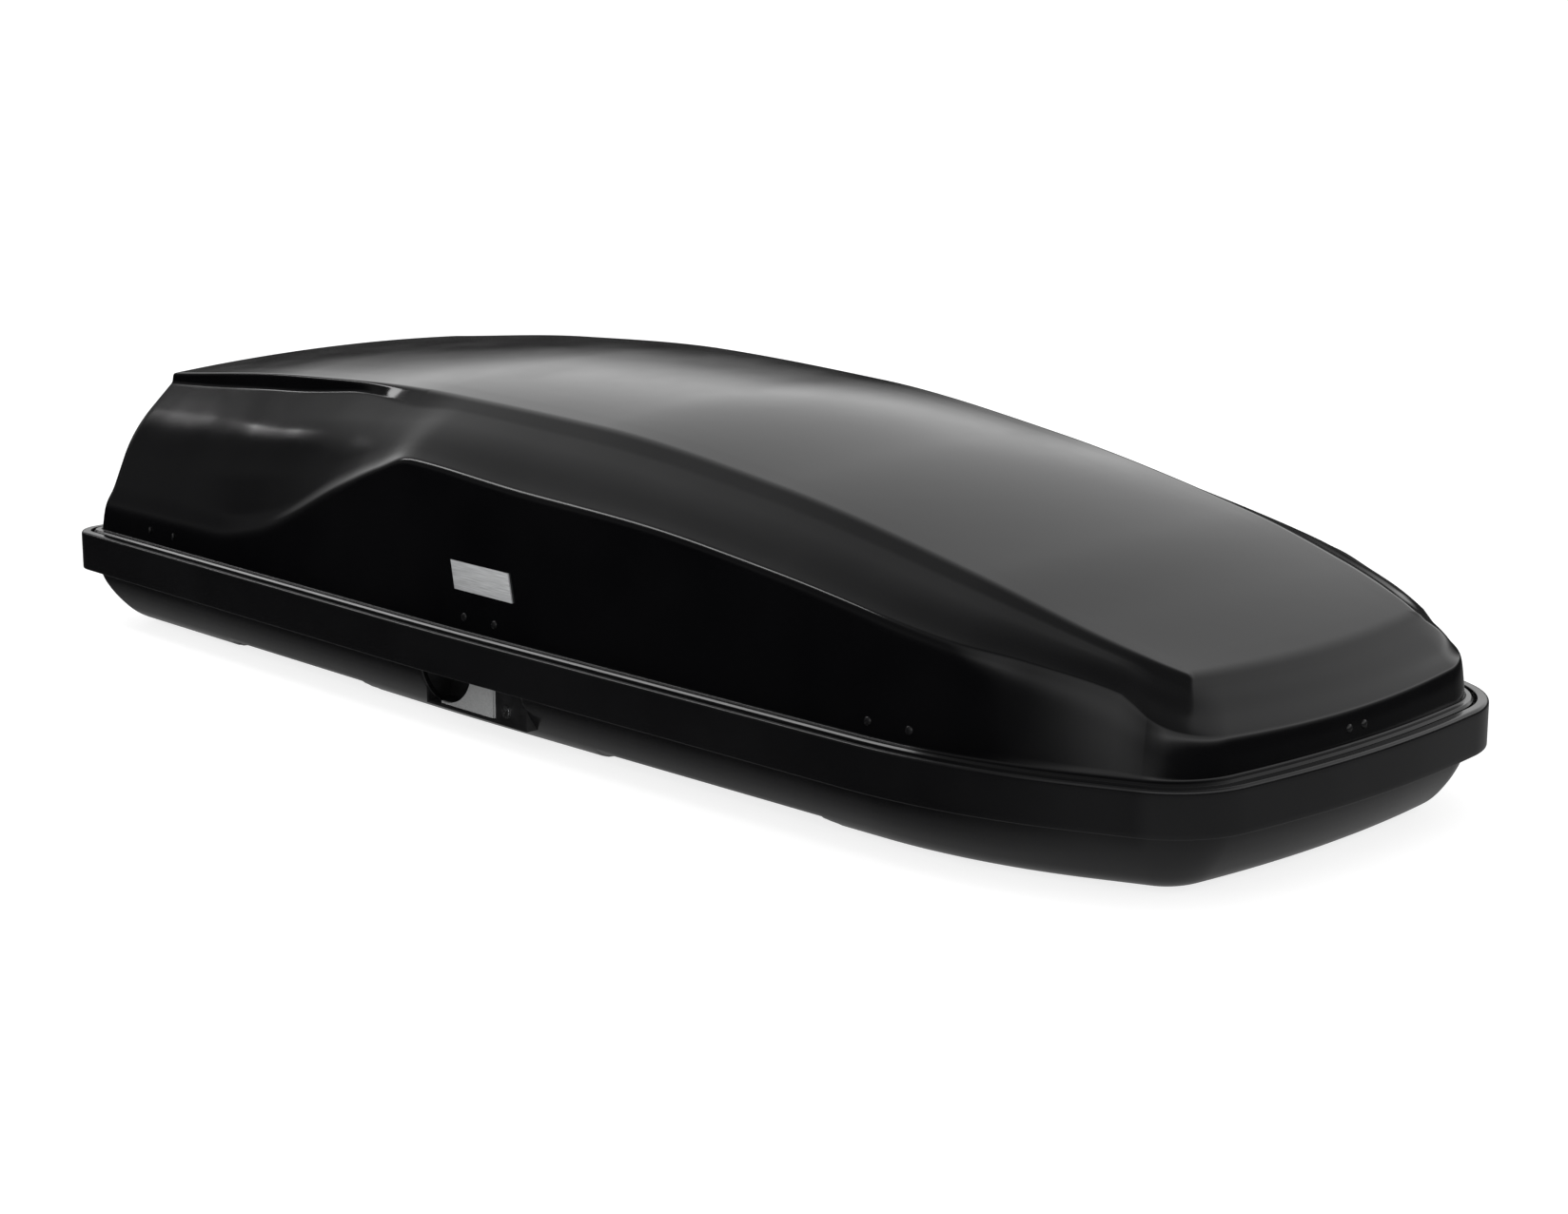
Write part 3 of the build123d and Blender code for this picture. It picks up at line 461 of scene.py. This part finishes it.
# ---------------------------------------------------------------- lid
def roof(along, across):
    """Roof panel over the unit field: the edge runs from tail to nose, x grows evenly to a bowed front edge,
    y = half width times across, and z = edge height + crown (1 - across^2)."""
    x = ROOF_TAIL + along * (ROOF_NOSE - ROOF_TAIL)
    half = smooth(x, [-896, -300, 0, 300, 600, 740, 828, 866], [250, 250, 245, 240, 236, 227, 211, 198])
    edge = smooth(x, [-896, -600, -300, 0, 300, 600, 740, 828, 866],
                  [338, 369, 383.5, 378, 349, 296, 261, 237, 226])
    crown = smooth(x, [-896, -300, 0, 300, 600, 740, 866], [9, 18, 18, 14, 6, 1, -5])
    full = 1 - across ** 2
    return np.stack([x + along * ROOF_NOSE_BOW * full, half * across, edge + crown * full], axis=-1)


def lid_skin():
    """Lid as rows round the stations: up the flange's outer edge, up the wall to its shoulder, along a
    quadratic surface to the underside of the roof's edge, over the edge and in to the roof's inner field.
    A row's height and place are monotone cubic functions of x, added to the outline moved inward."""
    margin = np.array([ROOF_MARGIN / (ROOF_NOSE - ROOF_TAIL), ROOF_MARGIN / ROOF_HALF_WIDTH])
    crease = around(roof)
    inner = around(lambda u, v: roof(margin[0] + u * (1 - 2 * margin[0]), v * (1 - margin[1])))

    shoulder_z = smooth(
        STATION_X, [-960, -640, -540, -375, -300, -228, -20, 190, 410, 640, 740, 838, 866, 934],
        [165, 165, 184, 264, 297, 320, 309, 301, 280, 248, 234, 212, 190, 166])
    tuck = smooth(STATION_X, [-960, 660, 740, 838, 910, 960], [0, 0, 10, 12, 0, 0])
    shoulder_in = WALL_LEAN * (shoulder_z - FLANGE["low"]) + tuck
    shoulder = lifted(FOOT_RING + INWARD * shoulder_in[:, None], shoulder_z)
    shelf = shoulder + 0.12 * (crease - shoulder)

    depth = smooth(crease[:, 0], [-896, -760, -616, -480, -358, -310, 880], [13, 18, 20, 14, 4, 0, 0])
    stepped = smooth(crease[:, 0], [-896, -480, -300, 880], [1, 1, 0, 0])[:, None]
    under = crease + np.column_stack([-INWARD * STEP_UNDERCUT, -depth])
    under = stepped * under + (1 - stepped) * (crease + 0.2 * (shoulder - crease))

    swell = smooth(STATION_X, [-960, -760, -600, -230, 740, 866, 960], [12, 14, 20, 3, 3, 4, 4])[:, None]
    middle = (shelf + under) / 2 + swell * np.column_stack([-0.8 * INWARD, np.full(len(INWARD), 0.6)])

    foot = lifted(FOOT_RING + INWARD * WALL_LEAN * SHEET, FLANGE["top"])
    flange, flange_top = ring(FLANGE["inset"]), ring(FLANGE["inset"] + FLANGE["chamfer"])
    shoulder_reach = smooth(STATION_X, [-960, -640, -420, -300, 300, 640, 838, 960],
                            [16, 18, 16, 7, 8, 22, 32, 34])
    crease_reach = np.where(np.abs(crease[:, 1]) < ROOF_NOSE_HALF, 12.0, 6.0)
    crease_reach = np.where(crease[:, 0] < STEP_END, 4.5, crease_reach)
    rows = rounded(
        [lifted(flange, FLANGE["low"]), lifted(flange, FLANGE["top"] - FLANGE["chamfer"]),
         lifted(flange_top, FLANGE["top"]), foot, shoulder, shelf, middle, under, crease, inner],
        [0.4, 0.5, 2.5, shoulder_reach, 7.0, 400.0, 3.0, crease_reach], [3, 3, 6, 11, 6, 13, 5, 9])

    u = margin[0] + ALONG_SHARE * (1 - 2 * margin[0])
    v = ACROSS_SHARE * (1 - margin[1])
    field = roof(*np.meshgrid(u, v, indexing="ij"))
    made = piece("lid_skin", [patch(rows, closed=True), patch(field, flipped=True)], "lid",
                 FINISHES["lid_gloss"], replaces=["lid_shell"])
    made.data.materials.append(FINISHES["inner_plastic"])
    wall = made.modifiers.new("sheet", "SOLIDIFY")
    wall.thickness = LID_SHEET * MM
    wall.offset = -1.0
    wall.use_even_offset = False
    wall.material_offset = 1


# ---------------------------------------------------------------- tray
def channel_height(x):
    """Height of the underside at x: 0 under the keels, CHANNEL_RISE over the roof bars, sloped between."""
    height = np.zeros(np.shape(x))
    for tail, nose in CHANNELS:
        places = [tail, tail + CHANNEL_SLOPES[0], nose, nose + CHANNEL_SLOPES[1]]
        height = np.maximum(height, np.interp(x, places, [0, CHANNEL_RISE, CHANNEL_RISE, 0]))
    return height


def filled(edge):
    """Field inside a ring: the sum of the straight blends between opposite sides, less the blend of the
    four corners."""
    right, left = edge[:ALONG], edge[ALONG + ACROSS:2 * ALONG + ACROSS][::-1]
    nose = np.concatenate([right[-1:], edge[NOSE_ROW], left[-1:]])
    tail = np.concatenate([right[:1], edge[2 * ALONG + ACROSS:][::-1], left[:1]])
    u, v = ALONG_SHARE[:, None, None], ((ACROSS_SHARE + 1) / 2)[None, :, None]
    corners = ((1 - u) * (1 - v) * right[0] + u * (1 - v) * right[-1] + (1 - u) * v * left[0]
               + u * v * left[-1])
    return (1 - v) * right[:, None] + v * left[:, None] + (1 - u) * tail[None] + u * nose[None] - corners


def prism(plan, low, high):
    """Closed upright prism: the plan's points at two heights, with the walls between them and two caps."""
    count = len(plan)
    points = np.concatenate([lifted(plan, low), lifted(plan, high)])
    walls = [(k, (k + 1) % count, count + (k + 1) % count, count + k) for k in range(count)]
    return points, [*walls, tuple(range(count))[::-1], tuple(range(count, 2 * count))]


def slot_outline(x, y):
    """Round-ended slot along X: two half circles of half the slot's width about the ends of its middle."""
    angle = np.linspace(-math.pi / 2, math.pi / 2, 13)
    radius, reach = CLAMP_SLOT[1] / 2, (CLAMP_SLOT[0] - CLAMP_SLOT[1]) / 2
    half = np.stack([reach + radius * np.cos(angle), radius * np.sin(angle)], axis=1)
    return np.concatenate([half, -half]) + [x, y]


def pocket_cutter(side):
    """Mouth of the handle pocket: a rectangle in XZ, with quarter circles at its corners, drawn along Y."""
    (x0, x1), (z0, z1) = HANDLE_MOUTH
    angle = np.linspace(0, math.pi / 2, 7)
    arc = np.stack([np.cos(angle), np.sin(angle)], axis=1)
    turns = [(1, 1), (-1, 1), (-1, -1), (1, -1)]
    face = []
    for turn, (x, z), radius in zip(turns, [(x1, z1), (x0, z1), (x0, z0), (x1, z0)], MOUTH_RADII):
        corner = arc if turn[0] == turn[1] else arc[::-1]
        face.append(np.array([x, z]) + radius * (corner * turn - np.array(turn)))
    points, faces = prism(np.concatenate(face), *MOUTH_CUT)
    points = points[:, [0, 2, 1]] * [1.0, side, 1.0]
    return points, faces if side < 0 else [face[::-1] for face in faces]


def cut(target, solid):
    """Takes a closed solid, given as points in millimetres and faces, out of an object for good."""
    points, faces = solid
    mesh = bpy.data.meshes.new("cutter")
    mesh.from_pydata((points * MM).tolist(), [], faces)
    shape = bmesh.new()
    shape.from_mesh(mesh)
    bmesh.ops.recalc_face_normals(shape, faces=shape.faces)
    shape.to_mesh(mesh)
    shape.free()
    cutter = bpy.data.objects.new("cutter", mesh)
    bpy.context.scene.collection.objects.link(cutter)
    opening = target.modifiers.new("opening", "BOOLEAN")
    opening.object, opening.operation, opening.solver = cutter, "DIFFERENCE", "EXACT"
    bpy.context.view_layer.update()
    result = bpy.data.meshes.new_from_object(target.evaluated_get(bpy.context.evaluated_depsgraph_get()))
    target.modifiers.remove(opening)
    target.data = result
    bpy.data.objects.remove(cutter)


def tray_skin():
    """Tray, gutter and band as one closed skin: up the outside of the tray, round the hollow band, along the
    gutter, over its lip and down the inside, with a field at each end for the outer and the inner floor."""
    gutter_low = GUTTER["floor"] - SHEET
    wall_in, ledge_in = TRAY_WALL[0][0], BAND["ledge"] - SHEET
    outer = [(TRAY_FLOOR_INSET, 0.0), *TRAY_WALL[::-1]]
    rim = [
        (wall_in, gutter_low), (ledge_in, gutter_low), (ledge_in, BAND["top"] - SHEET),
        (SHEET, BAND["top"] - SHEET),
        (SHEET, BAND["low"]), (0.0, BAND["low"]), (0.0, BAND["top"]), (BAND["ledge"], BAND["top"]),
        (BAND["ledge"], GUTTER["floor"]), (GUTTER["lip"], GUTTER["floor"]),
        (GUTTER["lip"], GUTTER["lip_top"]), (GUTTER["lip"] + SHEET, GUTTER["lip_top"]),
        (GUTTER["lip"] + SHEET, gutter_low), (wall_in + SHEET, gutter_low),
    ]
    inner = [(inset + SHEET, height + SHEET * 0.8) for inset, height in TRAY_WALL]
    inner.append((TRAY_FLOOR_INSET, SHEET))
    reach = [12, 22, 18, 18, 3, 2, 2, 1.5, 1.5, 0.8, 1.2, 5.0, 1.0, 3, 3, 1.8, 1.8, 1.5, 2, 6, 18, 18, 22,
             12]
    counts = [5, 6, 5, 5, 3, 3, 3, 3, 3, 3, 4, 9, 5, 4, 4, 4, 4, 3, 3, 4, 4, 4, 5, 4]
    rows = rounded([lifted(ring(inset), height) for inset, height in outer + rim + inner], reach, counts)
    first_inner = len(rows) // 2
    lift = np.where(np.arange(len(rows)) < first_inner, 0.0, SHEET)[:, None]
    rows[..., 2] = np.maximum(rows[..., 2], channel_height(rows[..., 0]) + lift)
    floors = []
    for edge, inside in ((rows[0], False), (rows[-1], True)):
        field = filled(edge)
        field[..., 2] = channel_height(field[..., 0]) + (SHEET if inside else 0.0)
        floors.append(patch(field, flipped=inside))
    made = piece("tray_skin", [patch(rows, closed=True), *floors], "base", FINISHES["tray_plastic"],
                 replaces=["base_shell"])
    for side in SIDES.values():
        cut(made, pocket_cutter(side))
        for x in FLOOR_RAIL_X:
            cut(made, prism(slot_outline(x, side * FLOOR_RAIL_Y), *SLOT_CUT))


def wall_place(x):
    """Place on the right side's wall at rivet height, over a given x, and the outward direction there."""
    wall = FOOT_RING[:ALONG] + INWARD[:ALONG] * WALL_LEAN * (RIVET_Z - FLANGE["low"])
    return np.array([[np.interp(x, wall[:, 0], wall[:, k]) for k in (0, 1)],
                     [-np.interp(x, wall[:, 0], INWARD[:ALONG, k]) for k in (0, 1)]])


def rivet_head(place, outward):
    """Domed head: height = h (1 - r^2)^0.55 over a disc of the head's radius, sunk a little into the wall,
    with a flat back. Rings run from the back's middle over the rim to the dome's middle."""
    radius, height = RIVET_HEAD
    share = np.concatenate([[0.02, 1.0], np.sin(np.linspace(math.pi / 2, 0.02, 9))])
    depth = np.concatenate([[-RIVET_SUNK, -RIVET_SUNK], height * (1 - share[2:] ** 2 + 1e-6) ** 0.55])
    angle = np.linspace(0, math.tau, 25)[:-1]
    normal = np.array([outward[0], outward[1], WALL_LEAN])
    normal /= np.linalg.norm(normal)
    first = np.cross([0.0, 0.0, 1.0], normal)
    first /= np.linalg.norm(first)
    second = np.cross(normal, first)
    round_part = np.cos(angle)[:, None] * first + np.sin(angle)[:, None] * second
    centre = np.array([place[0], place[1], RIVET_Z])
    points = centre + radius * share[:, None, None] * round_part + depth[:, None, None] * normal
    return patch(points, closed=True)


def lid_rivets():
    """The rivets' domed heads, one piece for each side and each end of the lid."""
    rows = {}
    for name, side in SIDES.items():
        turn = np.array([1.0, -side])
        rows[name] = [rivet_head(place * turn, outward * turn) for place, outward in map(wall_place, RIVET_X)]
    for name, way in (("nose", 1.0), ("tail", -1.0)):
        foot = FOOT_RING[np.argmax(FOOT_RING[:, 0] * way), 0]
        wall = foot - way * WALL_LEAN * (RIVET_Z - FLANGE["low"])
        rows[name] = [rivet_head((wall, y), (way, 0.0)) for y in (-END_RIVET_Y, END_RIVET_Y)]
    for name, heads in rows.items():
        piece(f"rivet_heads_{name}", heads, "lid", FINISHES["black_rivet"], [f"lid_rivets_{name}"])


def luggage_straps():
    """Webbing laid across the tray's floor: a strip of the strap's width and thickness along Y, whose
    height rises by a cosine wave between the buckle and each rail and is flat under both."""
    y = np.linspace(-STRAP["reach"], STRAP["reach"], 125)
    free = STRAP["reach"] - STRAP["under_buckle"] - STRAP["under_rail"]
    share = np.clip((np.abs(y) - STRAP["under_buckle"]) / free, 0, 1)
    wave = STRAP["rise"] / 2 * (1 - np.cos(share * math.tau * 2))
    half, thick, edge = STRAP["width"] / 2, STRAP["thick"], STRAP["edge"]
    section = np.array([(-half, edge), (-half, thick - edge), (-half + edge, thick), (half - edge, thick),
                        (half, thick - edge), (half, edge), (half - edge, 0.0), (-half + edge, 0.0)])
    floor = CHANNEL_RISE + SHEET + STRAP["clearance"]
    for x, end in FLOOR_RAIL_X.items():
        points = np.stack([
            np.broadcast_to(x + section[None, :, 0], (len(y), len(section))),
            np.broadcast_to(y[:, None], (len(y), len(section))),
            floor + wave[:, None] + section[None, :, 1],
        ], axis=-1)
        middles = [np.broadcast_to(points[k].mean(axis=0), points[k].shape) for k in (0, -1)]
        ends = [np.stack([points[k], middle]) for k, middle in zip((0, -1), middles)]
        strip = [patch(points, closed=True, flipped=True), patch(ends[0], closed=True),
                 patch(ends[1], closed=True, flipped=True)]
        strap = piece(f"webbing_{end}", strip, "base", FINISHES["strap_webbing"],
                      [f"luggage_strap_{end}"])


lid_skin()
lid_rivets()
tray_skin()
luggage_straps()


# ---------------------------------------------------------------- carried-over CAD nodes
def soften(node, width):
    """Merges a CAD node's loose triangles and rounds its edges by width, so that they catch the light."""
    node.data.shade_smooth()
    weld = node.modifiers.new("weld", "WELD")
    weld.merge_threshold = 0.005 * MM
    edges = node.modifiers.new("edges", "BEVEL")
    edges.width = width * MM
    edges.segments = 2
    edges.limit_method = "ANGLE"
    edges.angle_limit = math.radians(35)
    edges.harden_normals = True


for part in frame["record"]["subparts"]:
    cad_node = frame["nodes"][part["node"]]
    if not cad_node.hide_render:
        cad_node.data.materials.clear()
        cad_node.data.materials.append(FINISHES[part["material_slot"]])
        soften(cad_node, 0.4)


# ---------------------------------------------------------------- stage, light and camera
# The dome that reflections see: (sine of the height above the horizon, brightness).
DOME = [(-1.0, 0.3), (-0.3, 0.24), (-0.12, 0.03), (0.04, 0.03), (0.14, 0.3), (0.24, 1.3), (0.36, 0.9),
        (0.54, 0.75), (0.72, 0.55), (0.88, 0.2), (1.0, 0.12)]
# Toward `way` the dome falls to `level`, between the two cosines in `cone`.
DOME_SHADE = {"way": (-0.707, -0.707, 0.0), "cone": (0.35, 0.8), "level": 0.08}
FLOOR_SHEET = {"reach": 60.0, "height": -0.001}
SOFT_BOX = {"size": 3.6, "size_y": 0.45, "energy": 24.0}
SOFT_BOX_AT = (-2.5, -1.16, 2.2)


def studio():
    """Pale floor under an even white sky. Reflections see a graded dome in place of the floor and sky: a
    black horizon, a bright band a little above it and a dim zenith, darker toward the right rear, as soft
    boxes and flags would give. A long soft box over the right rear, facing down, draws the light line
    along the rim."""
    scene = bpy.context.scene
    scene.view_settings.view_transform = "Standard"
    world = bpy.data.worlds.new("studio")
    scene.world = world
    world.use_nodes = True
    tree = world.node_tree
    background = tree.nodes["Background"]
    coordinates = add_node(tree, "TexCoord")
    axes = add_node(tree, "SeparateXYZ", links={"Vector": (coordinates, "Generated")})
    height = add_node(tree, "MapRange", inputs={"From Min": -1.0}, links={"Value": (axes, "Z")})
    ramp = add_node(tree, "ValToRGB", links={"Fac": (height, "Result")})
    elements = ramp.color_ramp.elements
    while len(elements) < len(DOME):
        elements.new(0.5)
    for element, (place, level) in zip(elements, DOME):
        element.position = (place + 1) / 2
        element.color = (level, level, level, 1.0)
    toward_dark = add_node(tree, "VectorMath", operation="DOT_PRODUCT", inputs={1: DOME_SHADE["way"]},
                           links={0: (coordinates, "Generated")})
    shade = add_node(tree, "MapRange", links={"Value": (toward_dark, "Value")}, inputs={
        "From Min": DOME_SHADE["cone"][0], "From Max": DOME_SHADE["cone"][1],
        "To Min": 1.0, "To Max": DOME_SHADE["level"]})
    shaded = add_node(tree, "MixRGB", blend_type="MULTIPLY", inputs={"Fac": 1.0},
                      links={"Color1": (ramp, "Color"), "Color2": (shade, "Result")})
    path = add_node(tree, "LightPath")
    mix = add_node(tree, "MixRGB", inputs={"Color1": (1.0, 1.0, 1.0, 1.0)},
                   links={"Fac": (path, "Is Glossy Ray"), "Color2": (shaded, "Color")})
    tree.links.new(mix.outputs["Color"], background.inputs["Color"])

    floor_mesh = bpy.data.meshes.new("floor")
    reach, low = FLOOR_SHEET["reach"], FLOOR_SHEET["height"]
    corners = [(-reach, -reach, low), (reach, -reach, low), (reach, reach, low), (-reach, reach, low)]
    floor_mesh.from_pydata(corners, [], [(0, 1, 2, 3)])
    floor = bpy.data.objects.new("floor", floor_mesh)
    scene.collection.objects.link(floor)
    paper = finish_material("floor_paper", {
        "Base Color": linear("#a8a8a8"), "Roughness": 1.0, "Specular IOR Level": 0.0,
        "Emission Color": linear("#ffffff"), "Emission Strength": 0.8})[0]
    floor_mesh.materials.append(paper)
    floor.visible_glossy = False

    lamp_data = bpy.data.lights.new("rim_softbox", "AREA")
    lamp_data.shape = "RECTANGLE"
    for setting, value in SOFT_BOX.items():
        setattr(lamp_data, setting, value)
    lamp = bpy.data.objects.new("rim_softbox", lamp_data)
    lamp.location = SOFT_BOX_AT
    scene.collection.objects.link(lamp)


def camera():
    """Camera at the front right quarter, looking a little down at the box, without roll."""
    data = bpy.data.cameras.new("camera")
    data.lens, data.sensor_width = 72.13, 36.0
    data.clip_end = 200.0
    made = bpy.data.objects.new("camera", data)
    made.location = (2.7993, -2.6390, 1.0372)
    made.rotation_euler = (math.radians(90 - 13.46), 0.0, math.radians(46.01))
    bpy.context.scene.collection.objects.link(made)
    bpy.context.scene.camera = made


studio()
camera()
